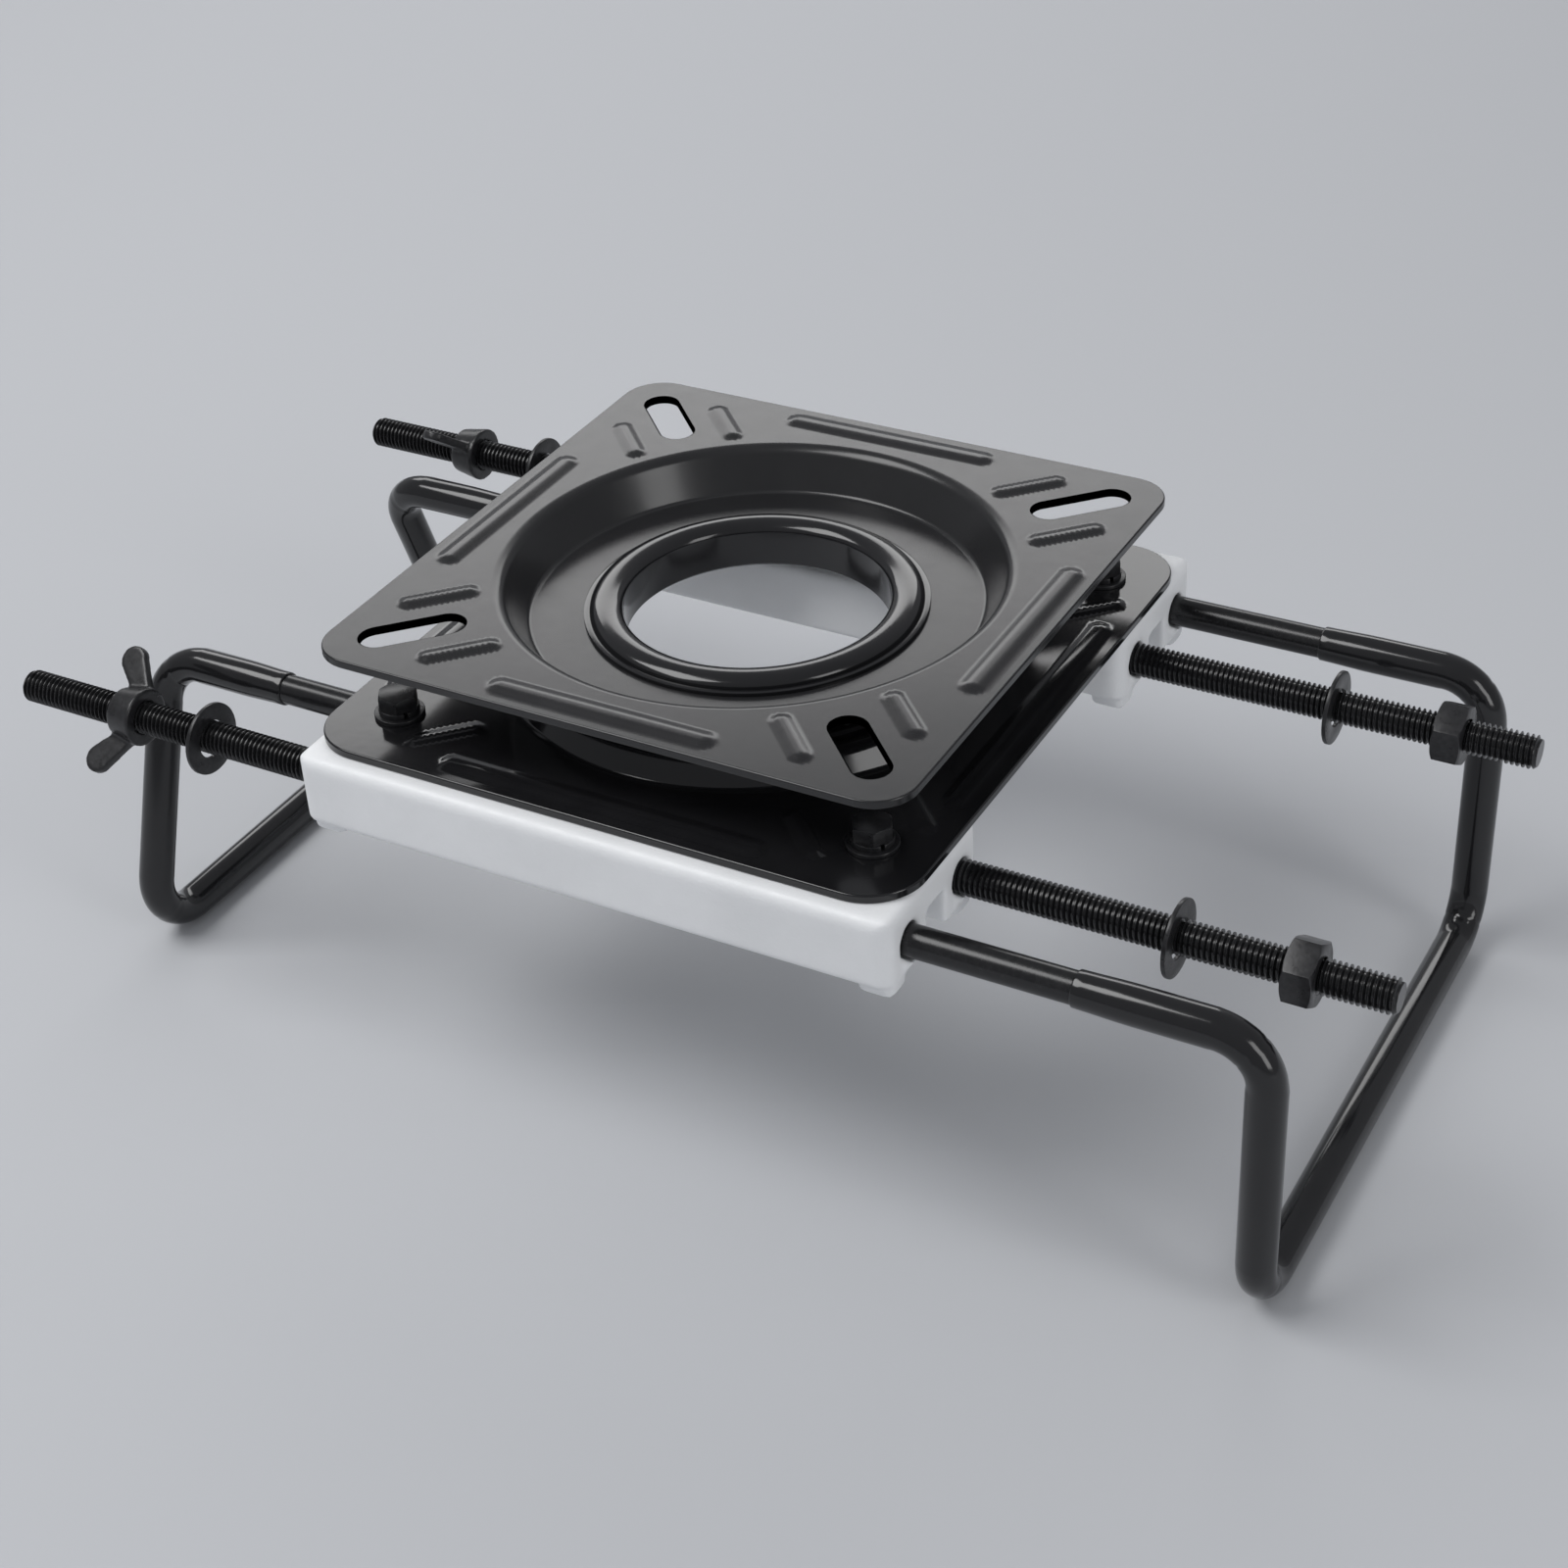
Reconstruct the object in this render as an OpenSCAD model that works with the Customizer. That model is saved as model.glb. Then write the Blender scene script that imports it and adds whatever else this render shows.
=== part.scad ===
// Swivel seat base: a ball-bearing swivel on two moulded blocks, held by two sliding bent-tube frames.
// X runs along the rods, Y across them and Z up. The origin is on the floor under the swivel axis.

/* [Swivel plates] */
// Side of the square top plate
plate_side = 178; // [170:1:190]
// Corner radius of the top plate
plate_corner = 12; // [8:1:16]
// Sheet thickness of both plates
sheet_t = 2.5; // [2:0.1:3]
// Width of the bottom plate across the rods
bottom_wid = 188; // [184:1:194]
// Depth of the ring pressed down into the top plate
recess_depth = 12; // [11:0.5:13]
// Distance from the swivel axis to the middle of the recess wall
recess_r = 68; // [67:0.5:69]
// Radius of the open hole through the swivel
hole_r = 37.5; // [34:0.5:38]

/* [Ball race] */
// Diameter of the bearing balls
ball_d = 5; // [4.5:0.1:5.5]
// Radius of the ball circle
race_r = 56; // [54:0.5:58]
// Number of balls
ball_n = 20; // [12:1:24]

/* [Corners] */
// Distance of the seat slots from the swivel axis, along X and Y
slot_pos = 68; // [66:0.5:70]
// Overall length of a seat slot
slot_len = 29; // [24:1:30]
// Width of a seat slot
slot_w = 10; // [8:0.5:10]
// Distance of the corner bolts from the ends of the blocks
bolt_inset = 17.5; // [15:0.5:20]

/* [Blocks] */
// Length of a block along the rods
block_len = 181; // [178:1:184]
// Height of a block without its feet
block_h = 21; // [20.5:0.5:24]
// Height of the top of a block above the rod axes
roof_h = 12; // [11.5:0.5:13]

/* [Rods and frames] */
// Distance of the outer pair of rods from the middle
outer_y = 87; // [86:0.5:89]
// Distance of the inner pair of rods from the middle
inner_y = 57.5; // [56:0.5:59]
// Diameter of the threaded part of the rods
rod_d = 9.6; // [9:0.1:10]
// Diameter of the plain part of the rods
shank_d = 8.8; // [8:0.1:9]
// Length of each rod
rod_len = 352; // [345:1:360]
// Length of the thread on each rod
thread_len = 150; // [146:1:156]
// Outer diameter of the frame tubes
tube_d = 10.6; // [10.4:0.1:11]
// Radius of the tube bends, to the centre of the tube
bend_r = 14; // [12:0.5:16]
// Height of the rod axes above the floor bars' axis
leg_drop = 84; // [78:1:96]
// Distance of the wide frame's tube ends from the swivel axis
wide_seam_x = 135.5; // [134:0.5:140]
// Distance of the narrow frame's tube ends from the swivel axis
narrow_seam_x = 125; // [124:0.5:130]
// Reach of the wide frame's arms, from the tube end to the leg's axis
wide_arm = 49.5; // [44:0.5:56]
// Reach of the narrow frame's arms, from the tube end to the leg's axis
narrow_arm = 45; // [40:0.5:50]

/* [Nuts and washers] */
// Place of the wing nuts: share of the way from the blocks to the free ends of their rods
wing_nut_at = 0.585; // [0.55:0.005:0.65]
// Place of the washers on the same rods
wing_washer_at = 0.36; // [0.3:0.01:0.4]
// Place of the hex nuts: share of the way from the blocks to the free ends of their rods
hex_nut_at = 0.79; // [0.75:0.01:0.85]
// Place of the washers on the same rods
hex_washer_at = 0.5; // [0.4:0.01:0.55]
// Diameter of the rod washers
washer_d = 21; // [18:0.5:22]
// Thickness of the rod washers
washer_t = 1.2; // [1:0.1:2]
// Width of a hex nut across its flats
nut_flats = 16; // [13:0.5:17]

/* [Hidden] */
$fn = 64;

// Colours of the real finishes
black_paint = [0.10, 0.10, 0.11];
black_zinc = [0.16, 0.16, 0.17];
bright_steel = [0.72, 0.73, 0.75];
white_plastic = [0.90, 0.91, 0.92];
cage_plastic = [0.35, 0.36, 0.38];

// Clearance round everything that turns or slides on something else
running = 0.05;
// Extra length by which a cut passes through a face
over = 1;

// Heights, from the floor up
floor_bar_z = tube_d / 2;
rod_z = floor_bar_z + leg_drop;
block_top = rod_z + roof_h;
block_bottom = block_top - block_h;
bottom_z = block_top + sheet_t;
platform_rise = 7.5;
platform_z = bottom_z + platform_rise;
groove_depth = 0.75;
recess_under = platform_z + ball_d - 2 * groove_depth;
recess_z = recess_under + sheet_t;
top_z = recess_z + recess_depth;
ball_z = (platform_z + recess_under) / 2;

// Pressed ring walls: bend radius of the sheet's middle and the slope of the wall
recess_bend = 4;
recess_slope = 75;
platform_bend = 3.5;
platform_slope = 60;
platform_r = 70;
wall_steps = 6;
wall_lap = 1;
bottom_corner = 16;

// The hub ring is a sleeve through both plates with a rolled bead on top
sleeve_t = 2;
sleeve_r = hole_r + sleeve_t;
bead_w = 11;
bead_r = hole_r + bead_w;
bead_round = 2.9;
bead_steps = 8;
bead_skirt = 2;
bead_flange = 1;
bead_h = 3.9;
bead_gap = 2 * running;
curl_w = 3.5;
curl_t = 1.3;
curl_round = 0.4;
hole_round = 0.8;

// Ribs pressed up out of the sheet
rib_h = 1.2;
rib_slope = 1.1;
short_rib = [23, 6.5];
long_rib = [69, 8];
bottom_rib = [100, 8];
rib_offset = 15;
rib_radial_in = 10;
rib_edge = 7.5;

// The blocks reach past the outer rods and a little past the inner ones, and the bottom plate
// juts out over their ends
block_out = 12;
block_in = 11;
block_y0 = inner_y - block_in;
block_y1 = outer_y + block_out;
block_corner = 5;
block_top_round = 3;
plate_overhang = 0.5;
bottom_len = block_len + 2 * plate_overhang;
bolt_x = block_len / 2 - bolt_inset;
bolt_y = (outer_y + inner_y) / 2;
bore_d = rod_d + 2 * running;
foot_h = 4.5;
foot_len = 11;
foot_w = 10;
foot_end = 0.5;
foot_side = 2.5;
foot_corner = 3.5;
foot_round = 2;
foot_root = 1;
lip_len = 2.5;
lip_w = 8;
lip_h = 4;
lip_slope = 1;
lip_seat = 1.2;
roof_t = 10;

// Corner fasteners: M6 hex bolts with a spring washer and a flat washer
bolt_d = 6;
bolt_flats = 10;
bolt_hole = bolt_d + 4 * running;
channel_w = bolt_flats + 4 * running;
bolt_head_h = 4.2;
spring_t = 1.6;
spring_d = 11.4;
spring_split = 1;
spring_turn = -35;
flat_t = 1.2;
flat_d = 14;
corner_nut_h = 5;
bolt_tail = 2;
bolt_chamfer = 0.8;

// Frame tubes and the rods fixed into their ends
tube_bore = shank_d + 2 * running;
rod_plug = 20;
lap = 0.2;
lap_step = 0.02;
rod_chamfer = 1;
hex_nut_h = 8;
washer_play = 1.4;
washer_bore = rod_d + washer_play;
washer_drop = washer_play / 2 - running;
wing_h = 9;
wing_base_r = 8.6;
wing_top_r = 7;
wing_t = 2.8;
wing_root = 1;
wing_shoulder = 0.5;
wing_ear_r = 4.2;
wing_reach = 15;
wing_rise = 10.5;
wing_side_x = 3.2;
wing_side_z = 2.7;
wing_turn_front = -46;
wing_turn_rear = 50;

cage_t = 1.4;
cage_w = 8;

// Radius of a hexagon's corners from its width across the flats
function corner_r(flats) = flats / 2 / cos(30);

// Middle line of a pressed wall from height z0 to z1 about radius r: points [radius, height, slope]
function wall_run(dz, bend, slope) =
    2 * bend * sin(slope) + (abs(dz) - 2 * bend * (1 - cos(slope))) / tan(slope);
function wall_path(r, z0, z1, bend, slope) =
    let (up = z1 > z0 ? 1 : -1, run = wall_run(z1 - z0, bend, slope))
    concat(
        [for (i = [0:wall_steps]) let (a = slope * i / wall_steps)
            [r - run / 2 + bend * sin(a), z0 + up * bend * (1 - cos(a)), up * a]],
        [for (i = [0:wall_steps]) let (a = slope * (1 - i / wall_steps))
            [r + run / 2 - bend * sin(a), z1 - up * bend * (1 - cos(a)), up * a]]
    );

// One face of a sheet that follows a wall path, half its thickness to one side
function sheet_side(path, side) =
    [for (p = path) [p[0] - side * sin(p[2]) * sheet_t / 2, p[1] + side * cos(p[2]) * sheet_t / 2]];
function reversed(list) = [for (i = [len(list) - 1:-1:0]) list[i]];

// Flat outline with rounded corners
module rounded_rect(x, y, r) {
    square([x - 2 * r, y], center = true);
    square([x, y - 2 * r], center = true);
    for (sx = [-1, 1], sy = [-1, 1])
        translate([sx * (x / 2 - r), sy * (y / 2 - r)]) circle(r);
}

// Sheet turned about the swivel axis, from the inner radius over a wall out to the outer radius
module pressed_ring(inner, outer, path) {
    inner_z = path[0][1];
    outer_z = path[len(path) - 1][1];
    rotate_extrude() polygon(concat(
        [[inner, inner_z + sheet_t / 2]], sheet_side(path, 1), [[outer, outer_z + sheet_t / 2]],
        [[outer, outer_z - sheet_t / 2]], reversed(sheet_side(path, -1)), [[inner, inner_z - sheet_t / 2]]
    ));
}

// Rib with sloping sides and round ends, lying along X
module rib(size, shrink = 0) {
    span = size[0] - size[1];
    w = size[1] - shrink;
    for (s = [-1, 1])
        translate([s * span / 2, 0, 0]) cylinder(d1 = w, d2 = w - 2 * rib_slope, h = rib_h);
    rotate([90, 0, 90]) linear_extrude(span, center = true)
        polygon([[-w / 2, 0], [w / 2, 0], [w / 2 - rib_slope, rib_h], [-w / 2 + rib_slope, rib_h]]);
}

// Places of the ribs on a plate whose corner holes are at hx and hy, and its half sides ex and ey
module at_ribs(hx, hy) {
    for (sx = [-1, 1], sy = [-1, 1], side = [-1, 1])
        translate([sx * hx, sy * hy, 0]) rotate([0, 0, atan2(sy, sx)])
            translate([-rib_radial_in, side * rib_offset, 0]) children();
}
module at_edges(ex, ey) {
    for (s = [-1, 1]) {
        translate([s * ex, 0, 0]) rotate([0, 0, 90]) children();
        translate([0, s * ey, 0]) children();
    }
}

// Square sheet with ribs pressed up, its upper face at z = 0 and a round hole for the pressed ring
module ribbed_sheet(x, y, corner, hole, hx, hy, edge_rib) {
    difference() {
        union() {
            translate([0, 0, -sheet_t]) linear_extrude(sheet_t) rounded_rect(x, y, corner);
            at_ribs(hx, hy) rib(short_rib);
            at_edges(x / 2 - rib_edge, y / 2 - rib_edge) rib(edge_rib);
        }
        translate([0, 0, -sheet_t]) {
            at_ribs(hx, hy) rib(short_rib, sheet_t);
            at_edges(x / 2 - rib_edge, y / 2 - rib_edge) rib(edge_rib, sheet_t);
        }
        translate([0, 0, -sheet_t - over]) cylinder(r = hole, h = sheet_t + 2 * over);
    }
}

// Ball groove, turned about the swivel axis
module race_groove() {
    translate([0, 0, ball_z]) rotate_extrude()
        translate([race_r, 0]) circle(ball_d / 2 + running);
}

// Seat slot that runs towards the swivel axis
module seat_slot() {
    span = slot_len - slot_w;
    translate([0, 0, top_z - sheet_t - over]) linear_extrude(sheet_t + 2 * over) {
        square([span, slot_w], center = true);
        for (s = [-1, 1]) translate([s * span / 2, 0]) circle(d = slot_w);
    }
}

module top_plate() {
    join_r = recess_r + wall_run(recess_depth, recess_bend, recess_slope) / 2 + wall_lap;
    path = wall_path(recess_r, recess_z - sheet_t / 2, top_z - sheet_t / 2, recess_bend, recess_slope);
    color(black_paint) difference() {
        union() {
            translate([0, 0, top_z])
                ribbed_sheet(plate_side, plate_side, plate_corner, join_r, slot_pos, slot_pos, long_rib);
            pressed_ring(sleeve_r + running, join_r, path);
        }
        for (sx = [-1, 1], sy = [-1, 1])
            translate([sx * slot_pos, sy * slot_pos, 0]) rotate([0, 0, atan2(sy, sx)]) seat_slot();
        race_groove();
    }
}

module bottom_plate() {
    join_r = platform_r + wall_run(platform_rise, platform_bend, platform_slope) / 2 + wall_lap;
    path = wall_path(platform_r, platform_z - sheet_t / 2, bottom_z - sheet_t / 2,
        platform_bend, platform_slope);
    color(black_paint) difference() {
        union() {
            translate([0, 0, bottom_z])
                ribbed_sheet(bottom_len, bottom_wid, bottom_corner, join_r, bolt_x, bolt_y, bottom_rib);
            pressed_ring(sleeve_r, join_r, path);
        }
        at_corners(bottom_z - sheet_t - over) cylinder(d = bolt_hole, h = sheet_t + 2 * over);
        race_groove();
    }
}

// Sleeve with a rolled bead over the top plate and a curl under the bottom plate
function bead_corner(x, z, from) =
    [for (i = [0:bead_steps]) let (a = from - 90 * i / bead_steps)
        [x + bead_round * cos(a), z + bead_round * sin(a)]];
module hub_ring() {
    foot_z = platform_z - sheet_t;
    bead_z = recess_z + bead_gap;
    crest = bead_z + bead_h;
    low = crest - bead_round;
    color(black_paint) rotate_extrude() polygon(concat(
        bead_corner(hole_r + bead_round, low, 180), bead_corner(bead_r - bead_skirt - bead_round, low, 90),
        [
            [bead_r, bead_z + bead_flange], [bead_r, bead_z], [sleeve_r, bead_z], [sleeve_r, foot_z],
            [sleeve_r + curl_w, foot_z], [sleeve_r + curl_w, foot_z - curl_t + curl_round],
            [sleeve_r + curl_w - curl_round, foot_z - curl_t], [hole_r + hole_round, foot_z - curl_t],
            [hole_r, foot_z - curl_t + hole_round]
        ]
    ));
}

module at_balls() {
    for (i = [0:ball_n - 1])
        rotate([0, 0, 360 * i / ball_n]) translate([race_r, 0, ball_z]) children();
}

module ball_cage() {
    color(cage_plastic) difference() {
        translate([0, 0, ball_z - cage_t / 2]) difference() {
            cylinder(r = race_r + cage_w / 2, h = cage_t);
            translate([0, 0, -over]) cylinder(r = race_r - cage_w / 2, h = cage_t + 2 * over);
        }
        at_balls() cylinder(d = ball_d + 2 * running, h = 2 * cage_t, center = true);
    }
}

module bearing_balls() {
    color(bright_steel) at_balls() sphere(d = ball_d);
}

// Moulded block on the +Y side, with its four feet and the gussets at its ends
module block() {
    mid_y = (block_y0 + block_y1) / 2;
    width = block_y1 - block_y0;
    foot_x = block_len / 2 - foot_end - foot_len / 2;
    foot_y = width / 2 - foot_side - foot_w / 2;
    difference() {
        union() {
            translate([0, mid_y, block_bottom])
                soft_box([block_len, width, block_h], block_corner, block_top_round);
            for (sx = [-1, 1], sy = [-1, 1])
                translate([sx * foot_x, mid_y + sy * foot_y, block_bottom + foot_root]) rotate([180, 0, 0])
                    soft_box([foot_len, foot_w, foot_h + foot_root], foot_corner, foot_round);
            for (s = [-1, 1], y = [inner_y, outer_y])
                translate([s * block_len / 2, y, rod_z]) scale([s, 1, 1]) rod_lip();
        }
        for (y = [inner_y, outer_y]) translate([0, y, rod_z]) rotate([0, 90, 0])
            cylinder(d = bore_d, h = block_len + 2 * (lip_len + over), center = true);
        translate([-block_len / 2 - over, bolt_y - channel_w / 2, block_bottom - over])
            cube([block_len + 2 * over, channel_w, block_h - roof_t + over]);
        for (s = [-1, 1]) translate([s * bolt_x, bolt_y, block_top - roof_t - over])
            cylinder(d = bolt_hole, h = roof_t + 2 * over);
    }
}

// Box that stands at z = 0, with its upright edges and its upper edges rounded
module soft_box(size, corner, edge) {
    intersection() {
        linear_extrude(size[2]) rounded_rect(size[0], size[1], corner);
        rotate([90, 0, 90]) linear_extrude(size[0] + 2 * over, center = true)
            soft_section(size[1], size[2], edge);
        rotate([90, 0, 0]) linear_extrude(size[1] + 2 * over, center = true)
            soft_section(size[0], size[2], edge);
    }
}
module soft_section(width, height, edge) {
    translate([-width / 2, 0]) square([width, height - edge]);
    translate([-width / 2 + edge, 0]) square([width - 2 * edge, height]);
    for (s = [-1, 1]) translate([s * (width / 2 - edge), height - edge]) circle(edge);
}

// Small gusset that juts out of a block's end under a rod
module rod_lip() {
    low = -bore_d / 2;
    translate([-over, lip_w / 2, 0]) rotate([90, 0, 0]) linear_extrude(lip_w)
        polygon([
            [0, low - lip_h], [over, low - lip_h + lip_slope],
            [over + lip_len, low], [over + lip_len, low + lip_seat], [0, low + lip_seat]
        ]);
}

module front_block() {
    color(white_plastic) mirror([0, 1, 0]) block();
}

module rear_block() {
    color(white_plastic) block();
}

module at_corners(z) {
    for (sx = [-1, 1], sy = [-1, 1])
        translate([sx * bolt_x, sy * bolt_y, z]) children();
}

module hex_prism(flats, h) {
    cylinder(r = corner_r(flats), h = h, $fn = 6);
}

// Hexagon with its corners turned off at one or both ends
module turned_hex(flats, h, both) {
    cut = corner_r(flats) - flats / 2;
    rise = cut * tan(30);
    intersection() {
        hex_prism(flats, h);
        union() {
            if (both) cylinder(r1 = flats / 2, r2 = flats / 2 + cut, h = rise);
            else cylinder(r = flats / 2 + cut, h = rise);
            translate([0, 0, rise]) cylinder(r = flats / 2 + cut, h = h - 2 * rise);
            translate([0, 0, h - rise]) cylinder(r1 = flats / 2 + cut, r2 = flats / 2, h = rise);
        }
    }
}

module corner_bolts() {
    head_z = bottom_z + flat_t + spring_t;
    tail_z = block_top - roof_t - corner_nut_h - bolt_tail;
    color(black_zinc) at_corners(0) {
        translate([0, 0, head_z]) turned_hex(bolt_flats, bolt_head_h, false);
        translate([0, 0, tail_z + bolt_chamfer]) cylinder(d = bolt_d, h = head_z - tail_z - bolt_chamfer);
        translate([0, 0, tail_z])
            cylinder(d1 = bolt_d - 2 * bolt_chamfer, d2 = bolt_d, h = bolt_chamfer);
    }
}

module corner_spring_washers() {
    color(black_zinc) at_corners(bottom_z + flat_t) difference() {
        cylinder(d = spring_d, h = spring_t);
        translate([0, 0, -over]) cylinder(d = bolt_hole, h = spring_t + 2 * over);
        translate([0, 0, -over]) rotate([0, 0, spring_turn]) translate([0, -spring_split / 2, 0])
            cube([spring_d, spring_split, spring_t + 2 * over]);
    }
}

module corner_washers() {
    color(black_zinc) at_corners(bottom_z) difference() {
        cylinder(d = flat_d, h = flat_t);
        translate([0, 0, -over]) cylinder(d = bolt_hole, h = flat_t + 2 * over);
    }
}

module corner_nuts() {
    color(black_zinc) at_corners(block_top - roof_t - corner_nut_h) difference() {
        turned_hex(bolt_flats, corner_nut_h, true);
        translate([0, 0, -over]) cylinder(d = bolt_d, h = corner_nut_h + 2 * over);
    }
}

// Bar made like a bending table: each row is a straight length, the next bend and its roll.
// Each straight runs a hair into its bends and is a hair fatter, so that the two close on each other.
module bent_bar(d, rows, past, i = 0) {
    last = i + 1 == len(rows);
    start = i == 0 ? past : lap;
    end = last ? past : lap;
    translate([0, 0, -start]) cylinder(d = d + lap_step, h = rows[i][0] + start + end);
    if (!last) translate([0, 0, rows[i][0]]) rotate([0, 0, rows[i][2]]) {
        translate([bend_r, 0, 0]) rotate([90, 0, 180])
            rotate_extrude(angle = rows[i][1]) translate([bend_r, 0]) circle(d = d);
        translate([bend_r, 0, 0]) rotate([0, rows[i][1], 0]) translate([-bend_r, 0, 0])
            bent_bar(d, rows, past, i + 1);
    }
}
module bent_tube(rows) {
    difference() {
        bent_bar(tube_d - lap_step, rows, 0);
        bent_bar(tube_bore - lap_step, rows, over);
    }
}

// U frame on the +X side: arm, leg, floor bar, leg and arm. Both frames' floor bars are as wide as
// the outer rods are apart, so the legs of the one on the inner rods spread downward.
module u_frame(seam_x, reach, arm_y) {
    splay = atan((outer_y - arm_y) / leg_drop);
    turn = 90 + splay;
    corner_cut = bend_r * tan(turn / 2);
    arm = reach - bend_r;
    leg = leg_drop / cos(splay) - bend_r - corner_cut;
    floor_bar = 2 * (outer_y - corner_cut);
    rows = [
        [arm, 90, -splay], [leg, turn, 90], [floor_bar, turn, 0], [leg, 90, -90], [arm, 0, 0]
    ];
    translate([seam_x, -arm_y, rod_z]) rotate([0, 90, 0]) bent_tube(rows);
}

module wide_frame_tube() {
    color(black_paint) u_frame(wide_seam_x, wide_arm, outer_y);
}

module narrow_frame_tube() {
    color(black_paint) mirror([1, 0, 0]) u_frame(narrow_seam_x, narrow_arm, inner_y);
}

// Rod along X, threaded from its free end inward and plain up to its end inside the tube
module rod(free_x, y, way) {
    translate([free_x, y, rod_z]) rotate([0, 90 * way, 0]) {
        cylinder(d1 = rod_d - 2 * rod_chamfer, d2 = rod_d, h = rod_chamfer);
        translate([0, 0, rod_chamfer]) cylinder(d = rod_d, h = thread_len - rod_chamfer);
        translate([0, 0, thread_len]) cylinder(d = shank_d, h = rod_len - thread_len);
    }
}
wide_free_x = wide_seam_x + rod_plug - rod_len;
narrow_free_x = rod_len - narrow_seam_x - rod_plug;

// Place on a rod, as a share of the way from the gusset on the block's end to the rod's free end
function along(free_x, share) =
    let (end = block_len / 2 + lip_len) sign(free_x) * (end + share * (abs(free_x) - end));

module wide_rod_front() {
    color(black_zinc) rod(wide_free_x, -outer_y, 1);
}
module wide_rod_rear() {
    color(black_zinc) rod(wide_free_x, outer_y, 1);
}
module narrow_rod_front() {
    color(black_zinc) rod(narrow_free_x, -inner_y, -1);
}
module narrow_rod_rear() {
    color(black_zinc) rod(narrow_free_x, inner_y, -1);
}

// Wing nut with its flat base at z = 0 and its wings flaring upward along X
module wing_nut_body() {
    difference() {
        union() {
            cylinder(r1 = wing_base_r, r2 = wing_top_r, h = wing_h);
            rotate([90, 0, 0]) linear_extrude(wing_t, center = true)
                for (s = [-1, 1]) scale([s, 1]) wing_outline();
        }
        translate([0, 0, -over]) cylinder(d = rod_d + 2 * running, h = wing_h + wing_rise + 2 * over);
    }
}
module wing_outline() {
    polygon([
        [0, wing_root], [wing_base_r - wing_root, wing_root],
        [wing_reach + wing_side_x, wing_rise - wing_side_z],
        [wing_reach - wing_side_x, wing_rise + wing_side_z],
        [wing_top_r, wing_h - wing_shoulder], [0, wing_h - wing_shoulder]
    ]);
    translate([wing_reach, wing_rise]) circle(wing_ear_r);
}
module wing_nut(y) {
    translate([along(wide_free_x, wing_nut_at), y, rod_z])
        rotate([y < 0 ? wing_turn_front : wing_turn_rear, 0, 0]) rotate([0, -90, 0]) wing_nut_body();
}
module wing_nut_front() {
    color(black_zinc) wing_nut(-outer_y);
}
module wing_nut_rear() {
    color(black_zinc) wing_nut(outer_y);
}

module hex_nut(y) {
    mid_x = along(narrow_free_x, hex_nut_at);
    translate([mid_x - hex_nut_h / 2, y, rod_z]) rotate([0, 90, 0]) difference() {
        turned_hex(nut_flats, hex_nut_h, true);
        translate([0, 0, -over]) cylinder(d = rod_d + 2 * running, h = hex_nut_h + 2 * over);
    }
}
module hex_nut_front() {
    color(black_zinc) hex_nut(-inner_y);
}
module hex_nut_rear() {
    color(black_zinc) hex_nut(inner_y);
}

wing_washer_x = along(wide_free_x, wing_washer_at);
hex_washer_x = along(narrow_free_x, hex_washer_at);

// Washer that hangs on a rod, so its bore touches the rod at the top
module rod_washer(x, y) {
    translate([x - washer_t / 2, y, rod_z - washer_drop]) rotate([0, 90, 0]) difference() {
        cylinder(d = washer_d, h = washer_t);
        translate([0, 0, -over]) cylinder(d = washer_bore, h = washer_t + 2 * over);
    }
}
module wing_washer_front() {
    color(black_zinc) rod_washer(wing_washer_x, -outer_y);
}
module wing_washer_rear() {
    color(black_zinc) rod_washer(wing_washer_x, outer_y);
}
module hex_washer_front() {
    color(black_zinc) rod_washer(hex_washer_x, -inner_y);
}
module hex_washer_rear() {
    color(black_zinc) rod_washer(hex_washer_x, inner_y);
}

top_plate();
bottom_plate();
hub_ring();
ball_cage();
bearing_balls();
front_block();
rear_block();
wide_frame_tube();
narrow_frame_tube();
wide_rod_front();
wide_rod_rear();
narrow_rod_front();
narrow_rod_rear();
wing_nut_front();
wing_nut_rear();
hex_nut_front();
hex_nut_rear();
wing_washer_front();
wing_washer_rear();
hex_washer_front();
hex_washer_rear();
corner_bolts();
corner_spring_washers();
corner_washers();
corner_nuts();
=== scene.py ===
import math

import bmesh
import bpy
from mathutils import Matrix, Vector
from mathutils.geometry import delaunay_2d_cdt


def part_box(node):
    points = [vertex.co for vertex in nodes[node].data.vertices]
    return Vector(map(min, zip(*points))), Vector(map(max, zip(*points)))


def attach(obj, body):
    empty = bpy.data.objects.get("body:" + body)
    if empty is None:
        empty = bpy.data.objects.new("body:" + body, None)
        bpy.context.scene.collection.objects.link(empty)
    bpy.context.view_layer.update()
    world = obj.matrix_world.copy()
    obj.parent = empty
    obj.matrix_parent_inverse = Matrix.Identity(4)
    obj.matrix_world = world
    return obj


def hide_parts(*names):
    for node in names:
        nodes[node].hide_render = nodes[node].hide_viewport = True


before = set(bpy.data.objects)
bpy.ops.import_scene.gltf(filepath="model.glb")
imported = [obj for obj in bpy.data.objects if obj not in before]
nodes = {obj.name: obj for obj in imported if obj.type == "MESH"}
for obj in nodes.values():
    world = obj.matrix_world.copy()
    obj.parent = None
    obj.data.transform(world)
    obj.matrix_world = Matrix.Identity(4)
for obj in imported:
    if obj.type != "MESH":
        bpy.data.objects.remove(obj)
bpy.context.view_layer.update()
MM = 0.001

# Camera: the photograph's viewpoint, a little above the base and to the right of its front edge.
camera = bpy.data.objects.new("camera", bpy.data.cameras.new("camera"))
bpy.context.scene.collection.objects.link(camera)
bpy.context.scene.camera = camera
camera.data.sensor_width = 36
camera.data.lens = 63.93
camera.data.clip_start = 0.01
camera.location = (0.34593, -0.57374, 0.51500)
camera.rotation_euler = [math.radians(a) for a in (55.51, 2.846, 28.759)]

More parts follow.
